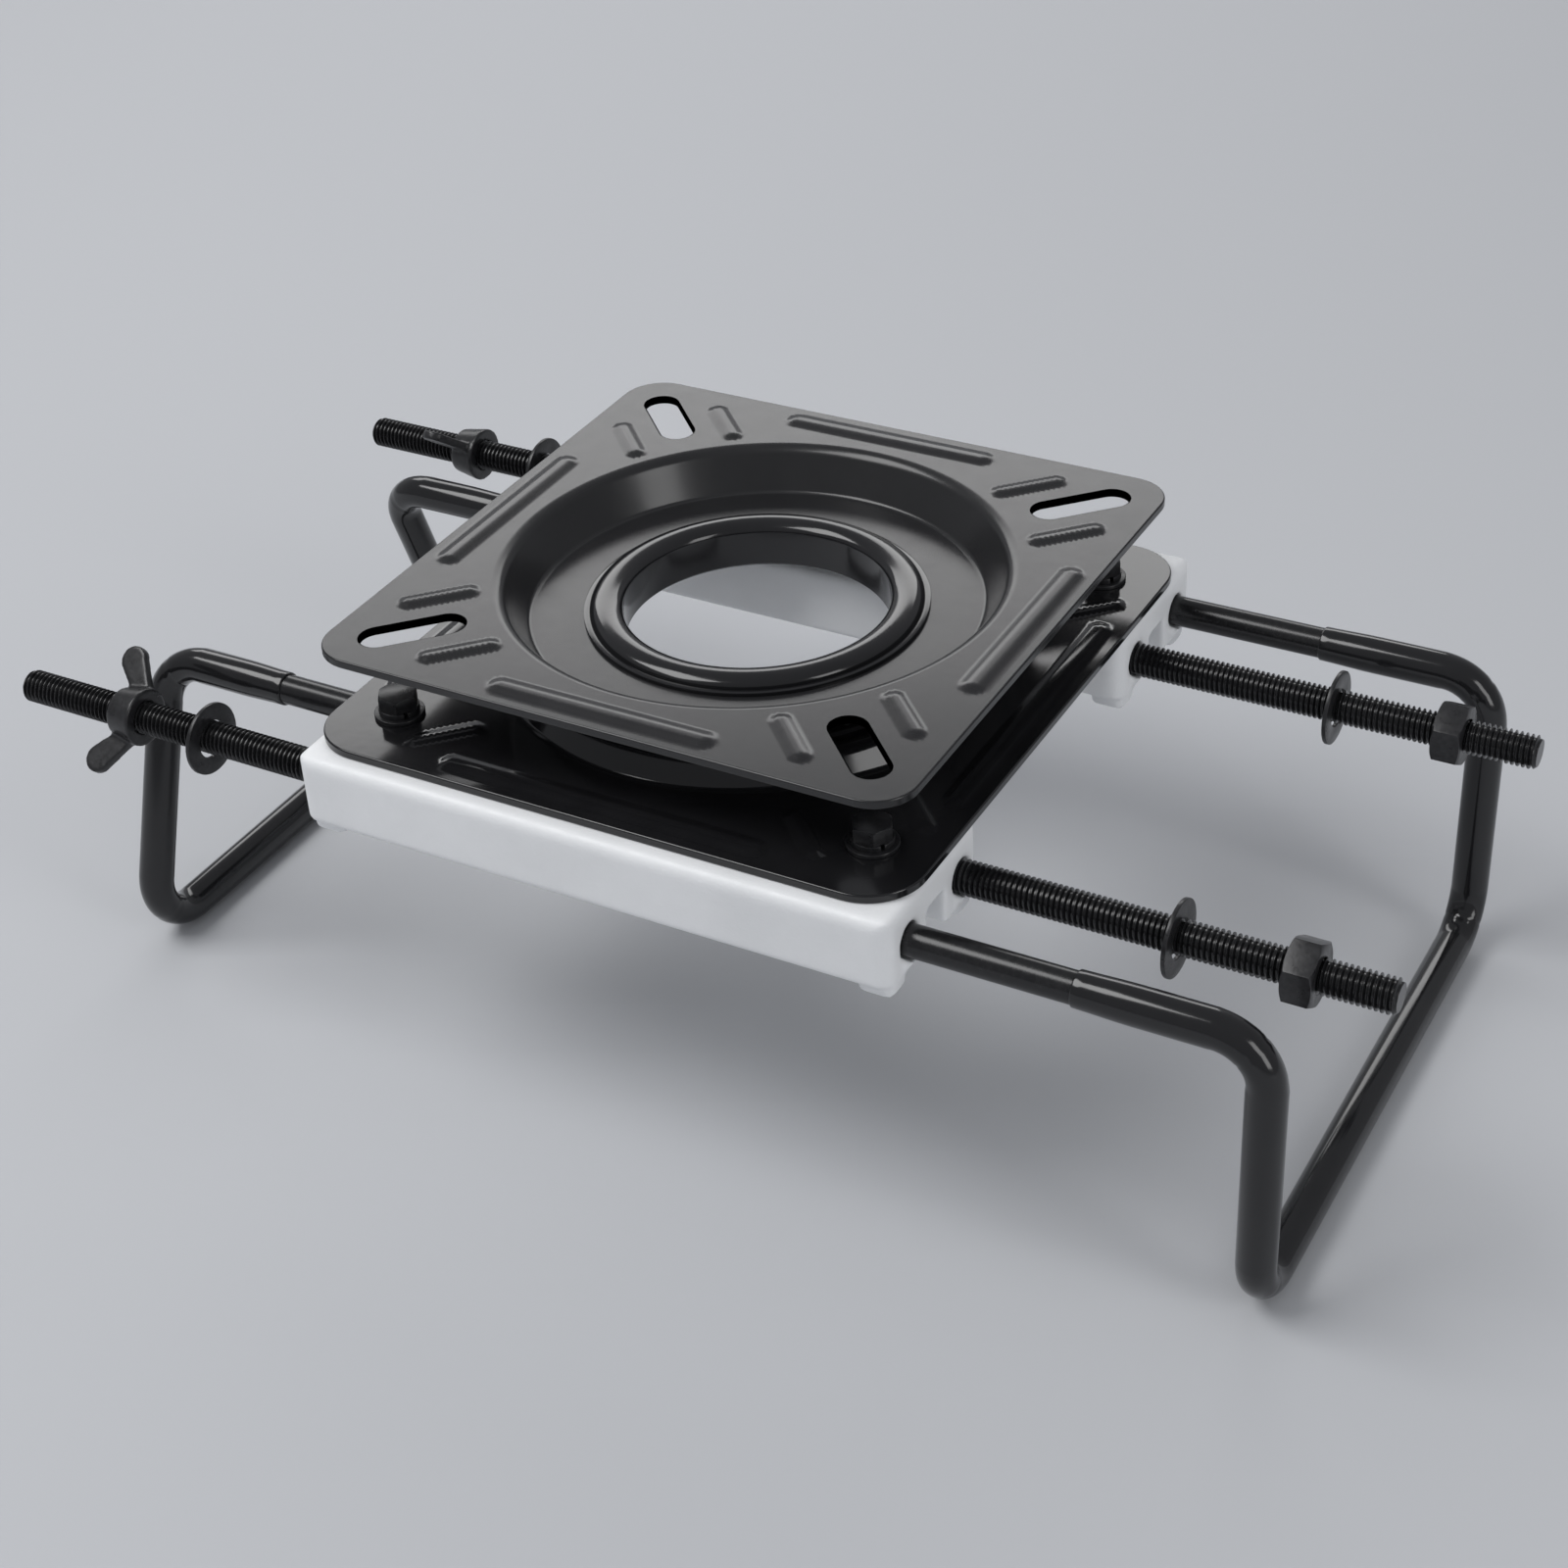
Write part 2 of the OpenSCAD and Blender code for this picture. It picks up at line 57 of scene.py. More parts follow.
# Studio: a wide pale floor that fills the view, a pale surround, and three large soft lamps.
# The surround is brighter to the camera than as a light, and dimmer in reflections, so black stays black.
bpy.context.scene.view_settings.view_transform = "Standard"


def new_material(name):
    material = bpy.data.materials.new(name)
    material.use_nodes = True
    tree = material.node_tree
    return material, tree.nodes, tree.links, tree.nodes["Principled BSDF"]


floor_paper, paper_nodes, paper_links, paper_bsdf = new_material("floor_paper")
paper_bsdf.inputs["Base Color"].default_value = (0.50, 0.51, 0.53, 1)
paper_bsdf.inputs["Roughness"].default_value = 0.85
floor_mesh = bpy.data.meshes.new("floor")
FLOOR_HALF = 6
floor_mesh.from_pydata(
    [(x * FLOOR_HALF, y * FLOOR_HALF, 0) for x, y in ((-1, -1), (1, -1), (1, 1), (-1, 1))], [], [(0, 1, 2, 3)])
floor_mesh.materials.append(floor_paper)
floor = bpy.data.objects.new("floor", floor_mesh)
bpy.context.scene.collection.objects.link(floor)

# Far from the lamps the floor glows a little to the camera, so that it stays as pale as it is nearby
floor_place = paper_nodes.new("ShaderNodeTexCoord")
far_off = paper_nodes.new("ShaderNodeVectorMath")
far_off.operation = "LENGTH"
glow = paper_nodes.new("ShaderNodeMapRange")
glow.interpolation_type = "SMOOTHSTEP"
glow.inputs["From Min"].default_value = 1.0
glow.inputs["From Max"].default_value = 3.5
glow.inputs["To Max"].default_value = 0.38
floor_ray = paper_nodes.new("ShaderNodeLightPath")
shown = paper_nodes.new("ShaderNodeMath")
shown.operation = "MULTIPLY"
paper_links.new(floor_place.outputs["Object"], far_off.inputs[0])
paper_links.new(far_off.outputs["Value"], glow.inputs["Value"])
paper_links.new(glow.outputs["Result"], shown.inputs[0])
paper_links.new(floor_ray.outputs["Is Camera Ray"], shown.inputs[1])
paper_links.new(shown.outputs[0], paper_bsdf.inputs["Emission Strength"])
paper_bsdf.inputs["Emission Color"].default_value = (0.93, 0.95, 1, 1)

world = bpy.data.worlds.new("surround")
bpy.context.scene.world = world
world.use_nodes = True
sky = world.node_tree.nodes["Background"]
sky.inputs["Color"].default_value = (0.93, 0.95, 1, 1)
ray = world.node_tree.nodes.new("ShaderNodeLightPath")
seen = world.node_tree.nodes.new("ShaderNodeMath")
seen.operation = "MAXIMUM"
strength = world.node_tree.nodes.new("ShaderNodeMapRange")
strength.inputs["To Min"].default_value = 0.42
strength.inputs["To Max"].default_value = 0.62
dimmed = world.node_tree.nodes.new("ShaderNodeMath")
dimmed.operation = "MULTIPLY_ADD"
dimmed.inputs[1].default_value = -0.14
world.node_tree.links.new(ray.outputs["Is Camera Ray"], seen.inputs[0])
world.node_tree.links.new(ray.outputs["Is Transmission Ray"], seen.inputs[1])
world.node_tree.links.new(seen.outputs[0], strength.inputs["Value"])
world.node_tree.links.new(ray.outputs["Is Glossy Ray"], dimmed.inputs[0])
world.node_tree.links.new(strength.outputs["Result"], dimmed.inputs[2])
world.node_tree.links.new(dimmed.outputs[0], sky.inputs["Strength"])


def soft_lamp(name, place, size_x, size_y, power):
    data = bpy.data.lights.new(name, "AREA")
    data.shape = "RECTANGLE"
    data.size = size_x
    data.size_y = size_y
    data.energy = power
    lamp = bpy.data.objects.new(name, data)
    lamp.location = place
    lamp.rotation_euler = (Vector((0, 0, 0.08)) - Vector(place)).to_track_quat("-Z", "Y").to_euler()
    bpy.context.scene.collection.objects.link(lamp)


soft_lamp("key_lamp", (-0.75, -0.55, 1.5), 1.1, 0.8, 17)
soft_lamp("back_lamp", (-0.85, 1.35, 0.9), 1.7, 0.5, 7)
soft_lamp("side_lamp", (1.45, -0.35, 0.75), 0.5, 1.1, 6)

# Top plate: one square sheet of 2.5 mm steel, pressed in a single stroke with a deep round recess,
# four long ribs near its edges, a pair of short ribs at each corner, and four diagonal seat slots.
# It is stove enamelled black, with the faint orange peel of sprayed enamel.
SHEET = 2.5 * MM
EDGE_ROUND = 0.5 * MM
EDGE_STEPS = 4
RING_STEPS = 240
HOLE_CHORD = math.cos(math.radians(6))


def mottled(nodes_, links, scale, low, high, detail=3.0, stretch=(1, 1, 1)):
    """Noise in the piece's own metres, mapped to a range of values."""
    place = nodes_.new("ShaderNodeTexCoord")
    mapping = nodes_.new("ShaderNodeMapping")
    mapping.inputs["Scale"].default_value = stretch
    noise = nodes_.new("ShaderNodeTexNoise")
    noise.inputs["Scale"].default_value = scale
    noise.inputs["Detail"].default_value = detail
    spread = nodes_.new("ShaderNodeMapRange")
    spread.inputs["From Min"].default_value = 0.3
    spread.inputs["From Max"].default_value = 0.7
    spread.inputs["To Min"].default_value = low
    spread.inputs["To Max"].default_value = high
    links.new(place.outputs["Object"], mapping.inputs["Vector"])
    links.new(mapping.outputs["Vector"], noise.inputs["Vector"])
    links.new(noise.outputs["Fac"], spread.inputs["Value"])
    return spread.outputs["Result"]


def tinted(nodes_, links, value, dark, light):
    """Colour that runs from dark to light with a value from 0 to 1."""
    ramp = nodes_.new("ShaderNodeMix")
    ramp.data_type = "RGBA"
    ramp.inputs["A"].default_value = (*dark, 1)
    ramp.inputs["B"].default_value = (*light, 1)
    links.new(value, ramp.inputs["Factor"])
    return ramp.outputs["Result"]


def grained(nodes_, links, bsdf, height, distance):
    """A raised grain on the surface, with its height in metres."""
    bump = nodes_.new("ShaderNodeBump")
    bump.inputs["Distance"].default_value = distance
    bump.inputs["Strength"].default_value = 1
    links.new(height, bump.inputs["Height"])
    links.new(bump.outputs["Normal"], bsdf.inputs["Normal"])


def black_enamel(name, dark, light, low_rough, high_rough, peel, coat):
    """Sprayed and stoved enamel. peel is the height of its orange peel in metres."""
    material, n, l, bsdf = new_material(name)
    l.new(tinted(n, l, mottled(n, l, 60, 0, 1), dark, light), bsdf.inputs["Base Color"])
    l.new(mottled(n, l, 140, low_rough, high_rough, 5), bsdf.inputs["Roughness"])
    grained(n, l, bsdf, mottled(n, l, 260, 0, 1, 1), peel)
    bsdf.inputs["Specular IOR Level"].default_value = 0.4
    bsdf.inputs["Coat Weight"].default_value = coat
    bsdf.inputs["Coat Roughness"].default_value = 0.12
    return material


plate_enamel = black_enamel(
    "plate_enamel", (0.014, 0.014, 0.015), (0.017, 0.017, 0.018), 0.24, 0.27, 0.000006, 0.15)
gloss_enamel = black_enamel(
    "gloss_enamel", (0.009, 0.009, 0.010), (0.012, 0.012, 0.013), 0.12, 0.15, 0.000005, 0.25)


def wall_path(radius, z0, z1, bend, slope_deg):
    """Middle line of a pressed wall, as rows of radius, height and slope."""
    slope = math.radians(slope_deg)
    up = 1 if z1 > z0 else -1
    run = 2 * bend * math.sin(slope) + (abs(z1 - z0) - 2 * bend * (1 - math.cos(slope))) / math.tan(slope)
    steps = 9
    low = [(radius - run / 2 + bend * math.sin(slope * i / steps),
            z0 + up * bend * (1 - math.cos(slope * i / steps)), up * slope * i / steps)
           for i in range(steps + 1)]
    high = [(radius + run / 2 - bend * math.sin(slope * i / steps),
             z1 - up * bend * (1 - math.cos(slope * i / steps)), up * slope * i / steps)
            for i in range(steps, -1, -1)]
    return low + high


def rib_rise(x, y, ribs):
    """Height and slope of the pressed ribs at a point. Each rib is (x, y, angle, length, width, height)."""
    rise, slope_x, slope_y = 0.0, 0.0, 0.0
    for cx, cy, angle, length, width, height in ribs:
        shoulder = 0.42 * width
        c, s = math.cos(angle), math.sin(angle)
        u, v = (x - cx) * c + (y - cy) * s, -(x - cx) * s + (y - cy) * c
        past = max(abs(u) - (length - width) / 2, 0)
        reach = math.hypot(past, v)
        t = (width / 2 - reach) / shoulder
        if t <= 0:
            continue
        t = min(t, 1)
        rise += height * (3 * t * t - 2 * t ** 3)
        fall = height * 6 * t * (1 - t) / shoulder
        if reach > 1e-9 and t < 1:
            du, dv = math.copysign(past, u) / reach, v / reach
            slope_x -= fall * (du * c - dv * s)
            slope_y -= fall * (du * s + dv * c)
    return rise, slope_x, slope_y


def rounded_loop(half_x, half_y, corner, steps=14):
    """Outline of a rounded rectangle as points with outward normals."""
    loop = []
    for k, (sx, sy) in enumerate(((1, 1), (-1, 1), (-1, -1), (1, -1))):
        for i in range(steps + 1):
            a = math.radians(90 * k + 90 * i / steps)
            nx, ny = math.cos(a), math.sin(a)
            loop.append((sx * (half_x - corner) + corner * nx, sy * (half_y - corner) + corner * ny, nx, ny))
    return loop


def spaced_loop(loop, step):
    """The same outline with its long straight runs divided, so that no cell is drawn out."""
    out = []
    for i, (x, y, nx, ny) in enumerate(loop):
        x2, y2 = loop[(i + 1) % len(loop)][:2]
        parts = max(1, round(math.hypot(x2 - x, y2 - y) / step))
        for k in range(parts):
            out.append((x + (x2 - x) * k / parts, y + (y2 - y) * k / parts, nx, ny))
    return out


def slot_loop(cx, cy, angle, length, width, steps=20):
    """A slot, or a round hole where length and width agree. The normals point into the hole."""
    c, s = math.cos(angle), math.sin(angle)
    loop = []
    for end in (1, -1):
        for i in range(steps + 1):
            a = math.radians(-90 + 180 * i / steps) + (0 if end > 0 else math.pi)
            nu, nv = math.cos(a), math.sin(a)
            u, v = end * (length - width) / 2 + width / 2 * nu, width / 2 * nv
            if length == width and end < 0 and i in (0, steps):
                continue
            loop.append((cx + u * c - v * s, cy + u * s + v * c, -(nu * c - nv * s), -(nu * s + nv * c)))
    return loop


def pressed_sheet(name, material, half_x, half_y, corner, z_top, path, hub_r, ribs, holes, cell):
    """A pressed square sheet: a polar part from the hub out over the wall, and a flat part with ribs
    and holes beyond it. Both faces are made, with rounded rims, and every normal is exact."""
    verts, normals, faces = [], [], []

    def add(point, normal):
        verts.append(point)
        normals.append(normal)
        return len(verts) - 1

    def both(x, y, z, n):
        """The top and bottom vertex of the sheet at a point of its upper face."""
        below = (x - n[0] * SHEET, y - n[1] * SHEET, z - n[2] * SHEET)
        return add((x, y, z), n), add(below, tuple(-c for c in n))

    # Polar part, from the rim at the hub to the top of the wall
    rings = [(hub_r + EDGE_ROUND, path[0][1], 0.0)]
    spread = 6
    for i in range(1, spread):
        rings.append((rings[0][0] + (path[0][0] - rings[0][0]) * i / spread, path[0][1], 0.0))
    rings += path
    seam_r = path[-1][0] + 1 * MM
    rings.append((seam_r, path[-1][1], 0.0))
    table = []
    for r, z, slope in rings:
        row = []
        for k in range(RING_STEPS):
            a = 2 * math.pi * k / RING_STEPS
            c, s = math.cos(a), math.sin(a)
            n = (-math.sin(slope) * c, -math.sin(slope) * s, math.cos(slope))
            rt, zt = r - math.sin(slope) * SHEET / 2, z + math.cos(slope) * SHEET / 2
            row.append(both(rt * c, rt * s, zt, n))
        table.append(row)
    for inner, outer in zip(table, table[1:]):
        for k in range(RING_STEPS):
            j = (k + 1) % RING_STEPS
            faces.append((inner[k][0], outer[k][0], outer[j][0], inner[j][0]))
            faces.append((inner[k][1], inner[j][1], outer[j][1], outer[k][1]))

    # Flat part: outline, holes and the seam ring as fixed edges, with a grid of points between
    outline = spaced_loop(rounded_loop(half_x - EDGE_ROUND, half_y - EDGE_ROUND, corner - EDGE_ROUND), 4 * MM)
    loops = [outline] + [slot_loop(x, y, turn, length + 2 * EDGE_ROUND, width + 2 * EDGE_ROUND)
                         for x, y, turn, length, width in holes]
    points, edges = [], []
    for loop in loops:
        first = len(points)
        points += [Vector(p[:2]) for p in loop]
        edges += [(first + i, first + (i + 1) % len(loop)) for i in range(len(loop))]
    ring_first = len(points)
    turns = [2 * math.pi * k / RING_STEPS for k in range(RING_STEPS)]
    points += [Vector((seam_r * math.cos(a), seam_r * math.sin(a))) for a in turns]
    edges += [(ring_first + k, ring_first + (k + 1) % RING_STEPS) for k in range(RING_STEPS)]
    fixed = len(points)
    gap = cell * 0.7

    def in_a_hole(x, y, margin, share=1):
        for cx, cy, angle, length, width in holes:
            c, s = math.cos(angle), math.sin(angle)
            u, v = (x - cx) * c + (y - cy) * s, -(x - cx) * s + (y - cy) * c
            if math.hypot(max(abs(u) - (length - width) / 2, 0), v) < (width / 2 + margin) * share:
                return True
        return False

    columns, rows = int(2 * half_x / cell), int(2 * half_y / cell)
    for i in range(1, columns):
        for j in range(1, rows):
            x, y = -half_x + 2 * half_x * i / columns, -half_y + 2 * half_y * j / rows
            if math.hypot(x, y) < seam_r + gap or in_a_hole(x, y, gap):
                continue
            if abs(x) > half_x - EDGE_ROUND - gap or abs(y) > half_y - EDGE_ROUND - gap:
                continue
            past_x, past_y = max(abs(x) - half_x + corner, 0), max(abs(y) - half_y + corner, 0)
            if math.hypot(past_x, past_y) > corner - EDGE_ROUND - gap:
                continue
            points.append(Vector((x, y)))
    flat, _, cells, origin, _, _ = delaunay_2d_cdt(points, edges, [], 0, 1e-7)
    pair = []
    for p, source in zip(flat, origin):
        k = source[0] if source else -1
        if ring_first <= k < fixed:
            pair.append(table[-1][k - ring_first])
            continue
        rise, sx, sy = rib_rise(p.x, p.y, ribs)
        size = math.sqrt(1 + sx * sx + sy * sy)
        pair.append(both(p.x, p.y, z_top + rise, (-sx / size, -sy / size, 1 / size)))
    place = {source[0]: k for k, source in enumerate(origin) if source}
    for face in cells:
        middle = sum((flat[k] for k in face), Vector((0, 0))) / len(face)
        if middle.length < seam_r * math.cos(math.pi / RING_STEPS):
            continue
        if in_a_hole(middle.x, middle.y, EDGE_ROUND, HOLE_CHORD):
            continue
        a, b, c = (flat[k] for k in face[:3])
        if (b - a).cross(c - a) < 0:
            face = face[::-1]
        faces.append(tuple(pair[k][0] for k in face))
        faces.append(tuple(pair[k][1] for k in reversed(face)))

    # Rims: a rounded edge, the cut face and the other rounded edge
    def rim(top_bottom, at, way):
        """Closes the two faces round a loop whose points are (x, y, nx, ny) at the upper face."""
        strips = []
        for (top, bottom), (x, y, nx, ny) in zip(top_bottom, at):
            z = verts[top][2]
            strip = [top]
            for k in range(1, 2 * EDGE_STEPS + 2):
                low = k > EDGE_STEPS
                a = math.radians(90 * (k if not low else k - 1) / EDGE_STEPS)
                rise = EDGE_ROUND * (math.cos(a) - 1) if not low else -SHEET + EDGE_ROUND * (1 + math.cos(a))
                if k == 2 * EDGE_STEPS + 1:
                    strip.append(bottom)
                else:
                    push = EDGE_ROUND * math.sin(a)
                    strip.append(add((x + nx * push, y + ny * push, z + rise),
                                     (nx * math.sin(a), ny * math.sin(a), math.cos(a))))
            strips.append(strip)
        for i, strip in enumerate(strips):
            after = strips[(i + 1) % len(strips)]
            for k in range(len(strip) - 1):
                quad = (strip[k], strip[k + 1], after[k + 1], after[k])
                faces.append(quad if way > 0 else quad[::-1])

    first = 0
    for loop in loops:
        rim([pair[place[first + i]] for i in range(len(loop))], loop, 1)
        first += len(loop)
    bore_r = hub_r + EDGE_ROUND
    rim(table[0], [(*verts[t][:2], -verts[t][0] / bore_r, -verts[t][1] / bore_r) for t, _ in table[0]], -1)

    mesh = bpy.data.meshes.new(name)
    mesh.from_pydata(verts, [], faces)
    mesh.materials.append(material)
    mesh.polygons.foreach_set("use_smooth", [True] * len(mesh.polygons))
    mesh.normals_split_custom_set_from_vertices(normals)
    mesh.update()
    piece = bpy.data.objects.new(name, mesh)
    bpy.context.scene.collection.objects.link(piece)
    return piece


def corner_ribs(hx, hy, length, width, height):
    """A short rib on each side of every corner hole, along the plate's diagonal."""
    inward, aside = 10 * MM, 15 * MM
    ribs = []
    for sx in (-1, 1):
        for sy in (-1, 1):
            a = math.atan2(sy, sx)
            for side in (-1, 1):
                ribs.append((sx * hx - inward * math.cos(a) - side * aside * math.sin(a),
                             sy * hy - inward * math.sin(a) + side * aside * math.cos(a), a, length, width, height))
    return ribs


def edge_ribs(half_x, half_y, length, width, height):
    inset = 7.5 * MM
    return ([(s * (half_x - inset), 0, math.pi / 2, length, width, height) for s in (-1, 1)]
            + [(0, s * (half_y - inset), 0, length, width, height) for s in (-1, 1)])


top_low, top_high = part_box("top_plate")
TOP_HALF = (top_high[0] - top_low[0]) / 2
TOP_CORNER = 12 * MM
TOP_CELL = 1.1 * MM
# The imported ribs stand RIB_ROOM above the sheet, and the pressed ones here are softer and a little lower
RIB_ROOM = 1.2 * MM
TOP_Z = top_high[2] - RIB_ROOM
RECESS_R = 68 * MM
RECESS_DEPTH = 12 * MM
RECESS_BEND = 3 * MM
WALL_SLOPE = 60
TOP_BORE_R = 39.55 * MM
SLOT_AT = 68 * MM
SLOT_LENGTH = 29 * MM
SLOT_WIDTH = 10 * MM
RIB_RISE = 0.85 * MM
SHORT_RIB = (24 * MM, 7.5 * MM, RIB_RISE)
TOP_RIB = (70 * MM, 9 * MM, RIB_RISE)
slots = [(sx * SLOT_AT, sy * SLOT_AT, math.atan2(sy, sx), SLOT_LENGTH, SLOT_WIDTH)
         for sx in (-1, 1) for sy in (-1, 1)]
top_plate = pressed_sheet(
    "top_plate_pressing", plate_enamel, TOP_HALF, TOP_HALF, TOP_CORNER, TOP_Z,
    wall_path(RECESS_R, TOP_Z - RECESS_DEPTH - SHEET / 2, TOP_Z - SHEET / 2, RECESS_BEND, WALL_SLOPE), TOP_BORE_R,
    corner_ribs(SLOT_AT, SLOT_AT, *SHORT_RIB) + edge_ribs(TOP_HALF, TOP_HALF, *TOP_RIB), slots, TOP_CELL)
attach(top_plate, "swivel_top")
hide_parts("top_plate")

# Bottom plate: the same gauge of sheet, with the race platform pressed up in its middle. It lies on
# the two blocks under four corner bolts, and the top plate hides all but its edges.
bottom_low, bottom_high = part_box("bottom_plate")
BOTTOM_HALF_X = (bottom_high[0] - bottom_low[0]) / 2
BOTTOM_HALF_Y = (bottom_high[1] - bottom_low[1]) / 2
BOTTOM_Z = bottom_low[2] + SHEET
BOTTOM_CORNER = 16 * MM
BOTTOM_CELL = 1.2 * MM
PLATFORM_R = 70 * MM
PLATFORM_RISE = 7.5 * MM
PLATFORM_BEND = 3.5 * MM
BOTTOM_BORE_R = 39.5 * MM
BOLT_X = 73 * MM
BOLT_Y = 72.25 * MM
BOLT_HOLE = 6.2 * MM
BOTTOM_RIB = (101 * MM, 9 * MM, RIB_RISE)
bolt_holes = [(sx * BOLT_X, sy * BOLT_Y, 0, BOLT_HOLE, BOLT_HOLE) for sx in (-1, 1) for sy in (-1, 1)]
bottom_plate = pressed_sheet(
    "bottom_plate_pressing", gloss_enamel, BOTTOM_HALF_X, BOTTOM_HALF_Y, BOTTOM_CORNER, BOTTOM_Z,
    wall_path(PLATFORM_R, BOTTOM_Z + PLATFORM_RISE - SHEET / 2, BOTTOM_Z - SHEET / 2, PLATFORM_BEND, WALL_SLOPE),
    BOTTOM_BORE_R, corner_ribs(BOLT_X, BOLT_Y, *SHORT_RIB) + edge_ribs(BOTTOM_HALF_X, BOTTOM_HALF_Y, *BOTTOM_RIB),
    bolt_holes, BOTTOM_CELL)
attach(bottom_plate, "base")
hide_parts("bottom_plate")

# Hub ring: a turned steel sleeve through both plates, with a full round bead rolled over the top plate,
# a thin lip round the bead, and a curl under the bottom plate. Its enamel is glossier than the plates'.
HOLE_R = 37.5 * MM
SLEEVE_R = 39.5 * MM
BEAD_STEPS = 24
HUB_STEPS = 256


def add_piece(name, verts, faces, material, body, node, sharp=35):
    """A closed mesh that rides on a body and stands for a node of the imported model."""
    mesh = bpy.data.meshes.new(name)
    mesh.from_pydata(verts, [], faces)
    mesh.materials.append(material)
    mesh.polygons.foreach_set("use_smooth", [True] * len(mesh.polygons))
    mesh.set_sharp_from_angle(angle=math.radians(sharp))
    piece = bpy.data.objects.new(name, mesh)
    bpy.context.scene.collection.objects.link(piece)
    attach(piece, body)
    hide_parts(node)
    return piece


hub_low, hub_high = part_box("hub_ring")
hub_r, foot_z, crest_z = hub_high[0], hub_low[2], hub_high[2]
bead_z = crest_z - 3.9 * MM
lip_z = bead_z + 1 * MM
bead_mid, bead_half = (HOLE_R + hub_r - 1.6 * MM) / 2, (hub_r - 1.6 * MM - HOLE_R) / 2
bead_turns = [math.pi * (1 - i / BEAD_STEPS) for i in range(BEAD_STEPS + 1)]
curl_z = foot_z + 1.3 * MM
hub_profile = [(bead_mid + bead_half * math.cos(a), lip_z + (crest_z - lip_z) * math.sin(a)) for a in bead_turns]
hub_profile += [
    (hub_r - 0.35 * MM, lip_z), (hub_r - 0.1 * MM, lip_z - 0.1 * MM), (hub_r, lip_z - 0.35 * MM), (hub_r, bead_z),
    (SLEEVE_R, bead_z), (SLEEVE_R, curl_z), (SLEEVE_R + 3.5 * MM, curl_z), (SLEEVE_R + 3.5 * MM, foot_z + 0.4 * MM),
    (SLEEVE_R + 3.1 * MM, foot_z), (HOLE_R + 0.8 * MM, foot_z), (HOLE_R, foot_z + 0.8 * MM)]
hub_verts = [(r * math.cos(2 * math.pi * k / HUB_STEPS), r * math.sin(2 * math.pi * k / HUB_STEPS), z)
             for r, z in hub_profile for k in range(HUB_STEPS)]
hub_faces = []
for i in range(len(hub_profile)):
    after = (i + 1) % len(hub_profile)
    for k in range(HUB_STEPS):
        j = (k + 1) % HUB_STEPS
        hub_faces.append((i * HUB_STEPS + k, after * HUB_STEPS + k, after * HUB_STEPS + j, i * HUB_STEPS + j))
add_piece("hub_ring_turning", hub_verts, hub_faces, gloss_enamel, "base", "hub_ring")

# Bearing: 20 polished steel balls in a thin moulded cage, closed in between the two plates.
ball_steel, n, l, bsdf = new_material("ball_steel")
bsdf.inputs["Metallic"].default_value = 1
l.new(tinted(n, l, mottled(n, l, 300, 0, 1), (0.62, 0.63, 0.65), (0.72, 0.73, 0.75)), bsdf.inputs["Base Color"])
l.new(mottled(n, l, 900, 0.08, 0.16), bsdf.inputs["Roughness"])
cage_moulding, n, l, bsdf = new_material("cage_moulding")
l.new(tinted(n, l, mottled(n, l, 200, 0, 1), (0.10, 0.10, 0.11), (0.14, 0.14, 0.15)), bsdf.inputs["Base Color"])
l.new(mottled(n, l, 500, 0.45, 0.6), bsdf.inputs["Roughness"])


def dress(name, material):
    """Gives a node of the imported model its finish."""
    mesh = nodes[name].data
    mesh.materials.clear()
    mesh.materials.append(material)


dress("bearing_balls", ball_steel)
dress("ball_cage", cage_moulding)

# Blocks: white nylon mouldings under the front and rear edges, each bored twice along its length
# for the rods. The skin is finely matt from the mould, and a little greyer in patches.
block_nylon, n, l, bsdf = new_material("block_nylon")
l.new(tinted(n, l, mottled(n, l, 35, 0, 1, 4), (0.78, 0.79, 0.80), (0.84, 0.85, 0.86)), bsdf.inputs["Base Color"])
l.new(mottled(n, l, 260, 0.38, 0.52), bsdf.inputs["Roughness"])
grained(n, l, bsdf, mottled(n, l, 1500, 0, 1, 2), 0.00003)
bsdf.inputs["Subsurface Weight"].default_value = 0.15
bsdf.inputs["Subsurface Radius"].default_value = (0.004, 0.004, 0.004)
bsdf.inputs["Subsurface Scale"].default_value = 1.0


def softened(name, node, body, material, width, limit=30):
    """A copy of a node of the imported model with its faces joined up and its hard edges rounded."""
    source = nodes[node].data
    shape = bmesh.new()
    shape.from_mesh(source)
    bmesh.ops.remove_doubles(shape, verts=shape.verts, dist=2e-6)
    bmesh.ops.dissolve_limit(shape, angle_limit=math.radians(0.4), verts=shape.verts, edges=shape.edges)
    hard = [e for e in shape.edges if len(e.link_faces) == 2 and e.calc_face_angle() > math.radians(limit)]
    bmesh.ops.bevel(shape, geom=hard, offset=width, offset_type="OFFSET", segments=3, profile=0.5,
                    affect="EDGES", clamp_overlap=True)
    mesh = bpy.data.meshes.new(name)
    shape.to_mesh(mesh)
    shape.free()
    mesh.materials.clear()
    mesh.materials.append(material)
    mesh.polygons.foreach_set("use_smooth", [True] * len(mesh.polygons))
    mesh.set_sharp_from_angle(angle=math.radians(40))
    piece = bpy.data.objects.new(name, mesh)
    bpy.context.scene.collection.objects.link(piece)
    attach(piece, body)
    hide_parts(node)
    return piece


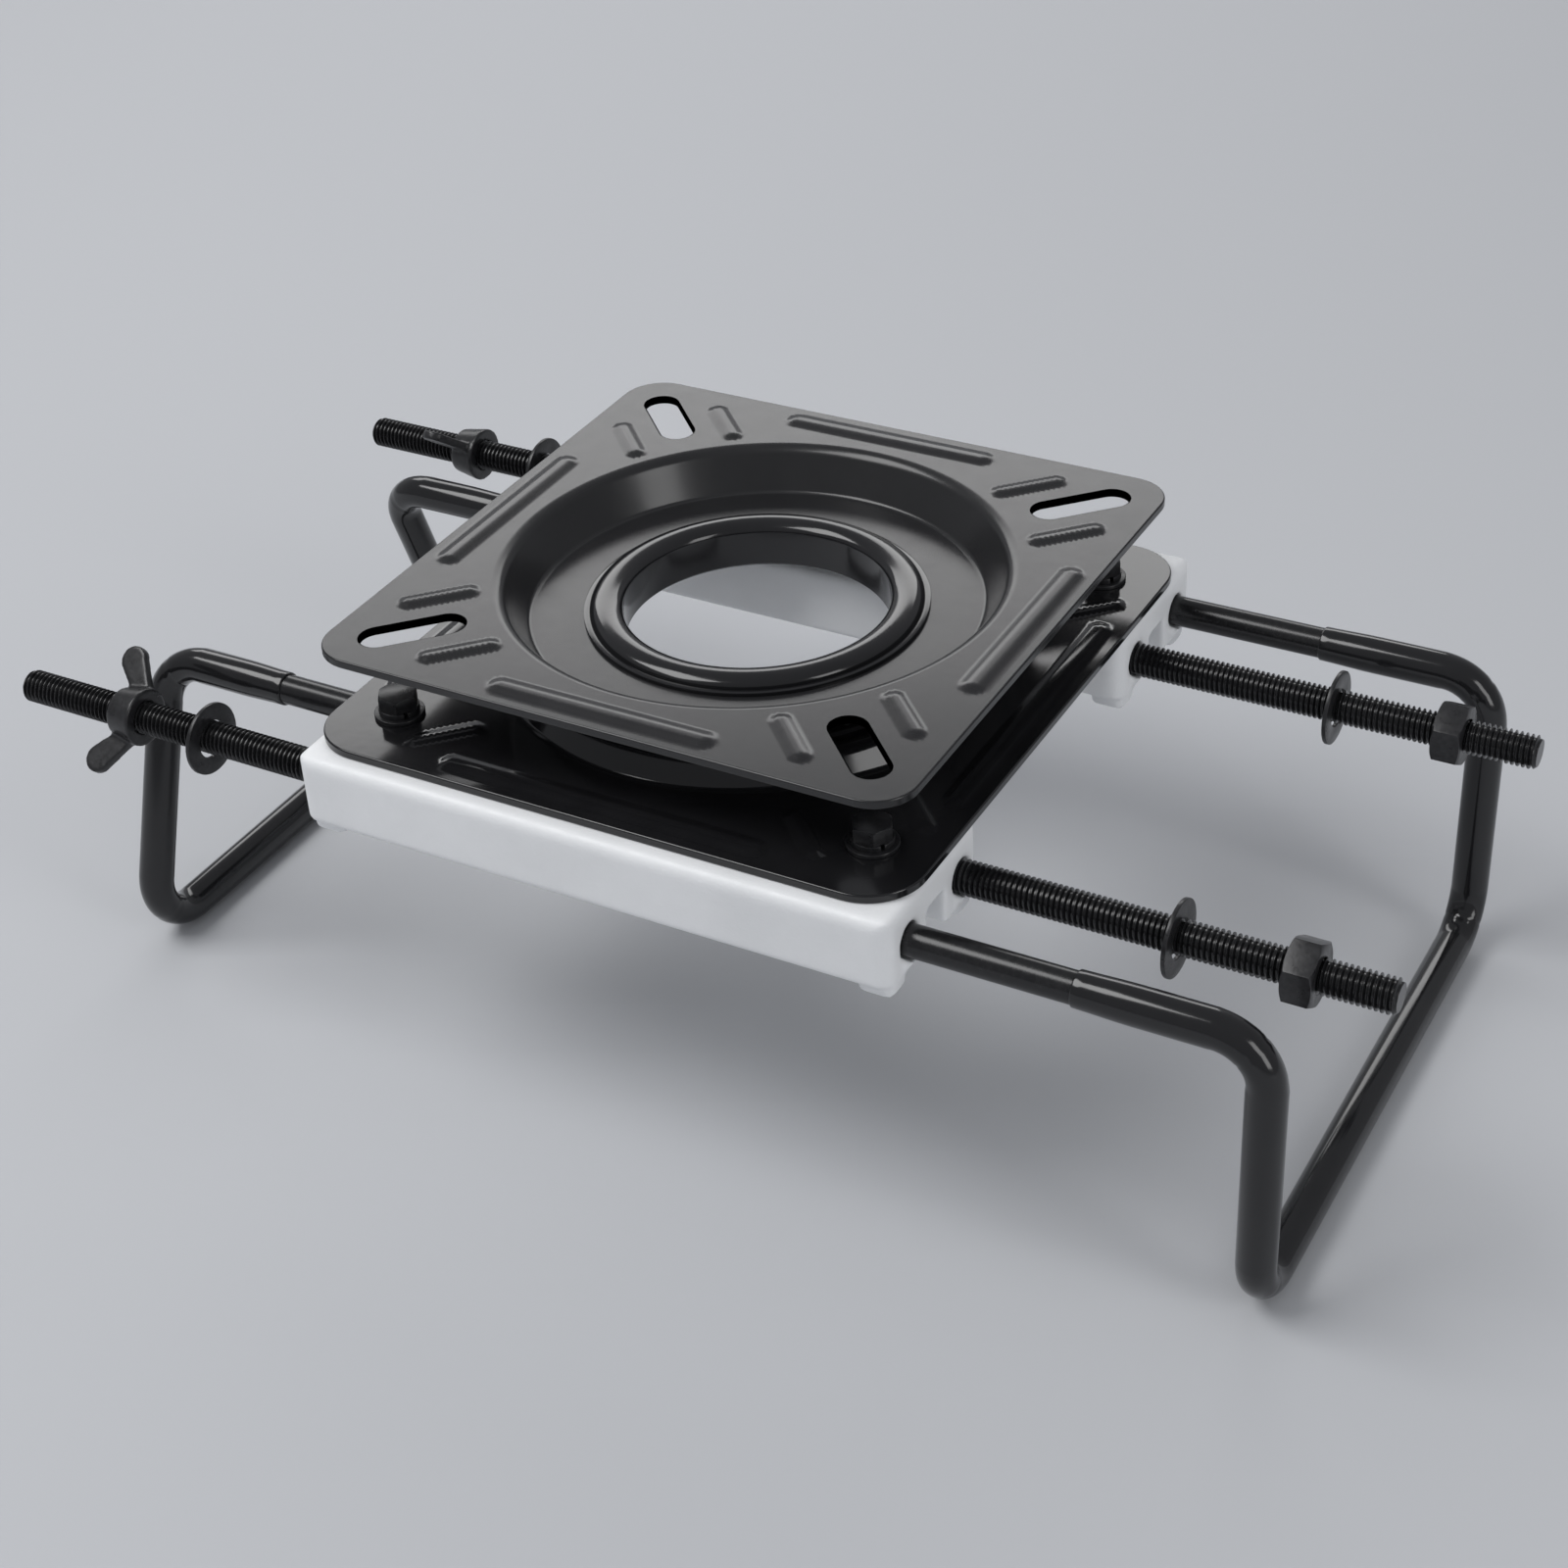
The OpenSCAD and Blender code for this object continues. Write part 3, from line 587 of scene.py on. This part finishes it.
def worn_soft(piece, voxel, rounds, bores, bore_r):
    """Rounds every edge of a moulded or cast piece a little, as its mould does, and opens its bores
    along X again to their full radius. Each bore is given by its y and z."""
    cast = piece.modifiers.new("cast", "REMESH")
    cast.mode = "VOXEL"
    cast.voxel_size = voxel
    worn = piece.modifiers.new("worn", "SMOOTH")
    worn.factor = 0.5
    worn.iterations = rounds
    shaped = bpy.data.meshes.new_from_object(piece.evaluated_get(bpy.context.evaluated_depsgraph_get()))
    piece.modifiers.clear()
    piece.data = shaped
    for vertex in shaped.vertices:
        for y, z in bores:
            off = Vector((vertex.co.y - y, vertex.co.z - z))
            if 0 < off.length < bore_r:
                off *= bore_r / off.length
                vertex.co.y, vertex.co.z = y + off[0], z + off[1]
    shaped.polygons.foreach_set("use_smooth", [True] * len(shaped.polygons))
    shaped.update()


INNER_Y = 57.5 * MM
OUTER_Y = 87 * MM
ROOF_OVER_ROD = 12 * MM
BORE_R = 4.95 * MM
rod_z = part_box("rear_block")[1][2] - ROOF_OVER_ROD
for side, way in (("front", -1), ("rear", 1)):
    block = softened(side + "_block_moulding", side + "_block", "base", block_nylon, 0.2 * MM)
    worn_soft(block, 0.8 * MM, 9, [(way * INNER_Y, rod_z), (way * OUTER_Y, rod_z)], BORE_R)

# Frame tubes: drawn steel tube bent cold in four places and stove enamelled deep gloss black. Each open
# end is cut square, slipped over a rod's shank and pressed down on it, so its cut edge shows as a fine
# bright crescent. The bending tool leaves a shallow crease across the middle of every bend.
TUBE_STEPS = 40
TUBE_RIM = 0.5 * MM
LEG_DROP = 84 * MM
SHANK_R = 4.4 * MM
SHANK_GRIP = 22 * MM
BEND_R = 14 * MM
BEND_FLAT = 0.07
BEND_CREASE = 0.03
MOUTH_PRESS = 0.35 * MM
MOUTH_TAPER = 16 * MM


def rounded_path(corners, bend, step_deg=4):
    """The corner points with an arc of the bend radius at each inner one: points, directions, the way
    and share by which the section is flattened there, and the share of its radius."""
    path = [(corners[0], (corners[1] - corners[0]).normalized(), Vector(), 0, 1)]
    for before, corner, after in zip(corners, corners[1:], corners[2:]):
        d1, d2 = (corner - before).normalized(), (after - corner).normalized()
        turn = d1.angle(d2)
        start = corner - d1 * bend * math.tan(turn / 2)
        side = (d2 - d1 * d1.dot(d2)).normalized()
        steps = max(4, round(math.degrees(turn) / step_deg))
        for i in range(steps + 1):
            a = turn * i / steps
            path.append((start + d1 * bend * math.sin(a) + side * bend * (1 - math.cos(a)),
                         d1 * math.cos(a) + side * math.sin(a), side * math.cos(a) - d1 * math.sin(a),
                         BEND_FLAT * math.sin(math.pi * i / steps) ** 0.5,
                         1 - BEND_CREASE if i == steps // 2 else 1))
    path.append((corners[-1], (corners[-1] - corners[-2]).normalized(), Vector(), 0, 1))
    return path


def bent_tube(name, node, body, seam_x, leg_x, arm_y, foot_y):
    """A frame's tube from one open end to the other: arm, leg, floor bar, leg and arm."""
    low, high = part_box(node)
    radius = (high[2] - low[2] - LEG_DROP) / 2
    floor_z, rod_z = low[2] + radius, high[2] - radius
    corners = [Vector(p) for p in (
        (seam_x, -arm_y, rod_z), (leg_x, -arm_y, rod_z), (leg_x, -foot_y, floor_z),
        (leg_x, foot_y, floor_z), (leg_x, arm_y, rod_z), (seam_x, arm_y, rod_z))]
    path = rounded_path(corners, BEND_R)
    start, end = path[0], path[-1]
    rims = (math.pi / 2, math.pi / 3, math.pi / 6, 0)
    mouth = [(SHANK_GRIP, SHANK_R), (TUBE_RIM / 2, SHANK_R)]
    mouth += [(TUBE_RIM * (1 - math.sin(a)), radius - MOUTH_PRESS - TUBE_RIM * (1 - math.cos(a))) for a in rims]
    mouth += [(MOUTH_TAPER * k / 6, radius - MOUTH_PRESS * (1 + math.cos(math.pi * k / 6)) / 2)
              for k in range(1, 7)]
    rings = [(start[0] + start[1] * at, start[1], Vector(), 0, r) for at, r in mouth]
    rings += [(p, d, inward, flat, radius * share) for p, d, inward, flat, share in path[1:-1]]
    rings += [(end[0] - end[1] * at, end[1], Vector(), 0, r) for at, r in reversed(mouth)]
    verts, faces = [], []
    side = Vector((0, 0, 1))
    for point, way, inward, flat, r in rings:
        side = (side - way * side.dot(way)).normalized()
        other = way.cross(side)
        for k in range(TUBE_STEPS):
            a = 2 * math.pi * k / TUBE_STEPS
            off = side * r * math.cos(a) + other * r * math.sin(a)
            verts.append(point + off - inward * off.dot(inward) * flat)
    for i in range(len(rings) - 1):
        for k in range(TUBE_STEPS):
            j = (k + 1) % TUBE_STEPS
            here, there = i * TUBE_STEPS, (i + 1) * TUBE_STEPS
            faces.append((here + k, here + j, there + j, there + k))
    last = (len(rings) - 1) * TUBE_STEPS
    faces.append(tuple(reversed(range(TUBE_STEPS))))
    faces.append(tuple(last + k for k in range(TUBE_STEPS)))
    return add_piece(name, verts, faces, gloss_enamel, body, node)


bent_tube("wide_frame_bent_tube", "wide_frame_tube", "wide_frame", 135.5 * MM, 185 * MM, OUTER_Y, OUTER_Y)
bent_tube("narrow_frame_bent_tube", "narrow_frame_tube", "narrow_frame", -125 * MM, -170 * MM, INNER_Y, OUTER_Y)

# Rods: 10 mm class steel rod with a rolled thread from the free end inward and a plain shank that is
# fixed in the tube's end. The finish is a smooth black oxide, a little uneven in tone.
PITCH = 1.5 * MM
THREAD_LENGTH = 150 * MM
THREAD_DEPTH = 0.9 * MM
ROD_TURN = 32
ROD_CHAMFER = 1 * MM
THREAD_PROFILE = ((0.0, 0.0), (0.14, 0.0), (0.44, 1.0), (0.7, 1.0))


def black_oxide(name, dark, light, low_rough, high_rough, grain):
    """Blackened steel with a dull metal sheen. grain is the height of its grain in metres."""
    material, n, l, bsdf = new_material(name)
    l.new(mottled(n, l, 350, low_rough, high_rough, 5), bsdf.inputs["Roughness"])
    bsdf.inputs["Metallic"].default_value = 0.2
    l.new(tinted(n, l, mottled(n, l, 700, 0, 1, 5), dark, light), bsdf.inputs["Base Color"])
    grained(n, l, bsdf, mottled(n, l, 900, 0, 1, 3), grain)
    return material


rod_oxide = black_oxide("rod_oxide", (0.010, 0.010, 0.011), (0.018, 0.018, 0.019), 0.2, 0.22, 0.000001)


def threaded_rod(name, node, body, way):
    """A rod along X, threaded from its free end. way is 1 where the thread runs towards +X."""
    low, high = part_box(node)
    y, z = (low[1] + high[1]) / 2, (low[2] + high[2]) / 2
    radius = (high[2] - low[2]) / 2
    free_x, tail_x = (low[0], high[0]) if way > 0 else (high[0], low[0])
    verts, faces, known = [], [], {}

    def point(x, r, a):
        key = (round(x * 1e7), round(r * 1e7), round(a * 1e4) % round(2 * math.pi * 1e4))
        if key not in known:
            known[key] = len(verts)
            verts.append((free_x + way * x, y + r * math.cos(a), z + way * r * math.sin(a)))
        return known[key]

    def face(*corners):
        ring = [c for c, after in zip(corners, corners[1:] + corners[:1]) if c != after]
        if len(ring) > 2:
            faces.append(ring)

    rows = []
    for turn in range(-1, round(THREAD_LENGTH / PITCH) + 1):
        for at, depth in THREAD_PROFILE:
            row = []
            for k in range(ROD_TURN):
                x = min(max((turn + at + k / ROD_TURN) * PITCH, 0), THREAD_LENGTH)
                r = min(radius - THREAD_DEPTH * depth, radius - ROD_CHAMFER + x)
                if x > THREAD_LENGTH - PITCH:
                    r = min(max(r, SHANK_R), SHANK_R + (THREAD_LENGTH - x) / 2)
                row.append(point(x, r, 2 * math.pi * k / ROD_TURN))
            rows.append(row)
    turn_rows = len(THREAD_PROFILE)
    for i in range(len(rows) - 1):
        for k in range(ROD_TURN - 1):
            face(rows[i][k], rows[i + 1][k], rows[i + 1][k + 1], rows[i][k + 1])
        if i + 1 + turn_rows < len(rows):
            face(rows[i][-1], rows[i + 1][-1], rows[i + 1 + turn_rows][0], rows[i + turn_rows][0])
    steps = [2 * math.pi * k / ROD_TURN for k in range(ROD_TURN)]
    tip = [point(0, radius - ROD_CHAMFER, a) for a in steps]
    shoulder = [point(THREAD_LENGTH, SHANK_R, a) for a in steps]
    tail = [point(abs(tail_x - free_x), SHANK_R, a) for a in steps]
    for k in range(ROD_TURN):
        j = (k + 1) % ROD_TURN
        face(shoulder[k], tail[k], tail[j], shoulder[j])
    faces.append(tip)
    faces.append(tail[::-1])
    return add_piece(name, verts, faces, rod_oxide, body, node)


for side in ("front", "rear"):
    threaded_rod("wide_threaded_rod_" + side, "wide_rod_" + side, "wide_frame", 1)
    threaded_rod("narrow_threaded_rod_" + side, "narrow_rod_" + side, "narrow_frame", -1)

# Nuts and rod washers: pressed and cast steel fittings in the same black oxide, a little smoother than
# the rods. Their corners are worn soft.
fitting_oxide = black_oxide("fitting_oxide", (0.014, 0.014, 0.015), (0.026, 0.026, 0.028), 0.26, 0.36, 0.00001)
WORN_EDGE = {"wing_nut_": 0.2 * MM, "hex_nut_": 0.5 * MM, "wing_washer_": 0.2 * MM, "hex_washer_": 0.2 * MM}
for side, way in (("front", -1), ("rear", 1)):
    for kind, edge in WORN_EDGE.items():
        fitting = softened(kind + side + "_fitting", kind + side, kind + side, fitting_oxide, edge)
        if kind == "wing_nut_":
            worn_soft(fitting, 0.42 * MM, 14, [(way * OUTER_Y, rod_z)], BORE_R)

# Corner fasteners: an M6 hexagon bolt, a split spring washer, a flat washer and a nut at each corner.
# They are black steel like the rods' nuts, and clamp the bottom plate to the roof of the blocks.
for kind in ("corner_bolts", "corner_spring_washers", "corner_washers", "corner_nuts"):
    softened(kind + "_softened", kind, "base", fitting_oxide, 0.2 * MM)
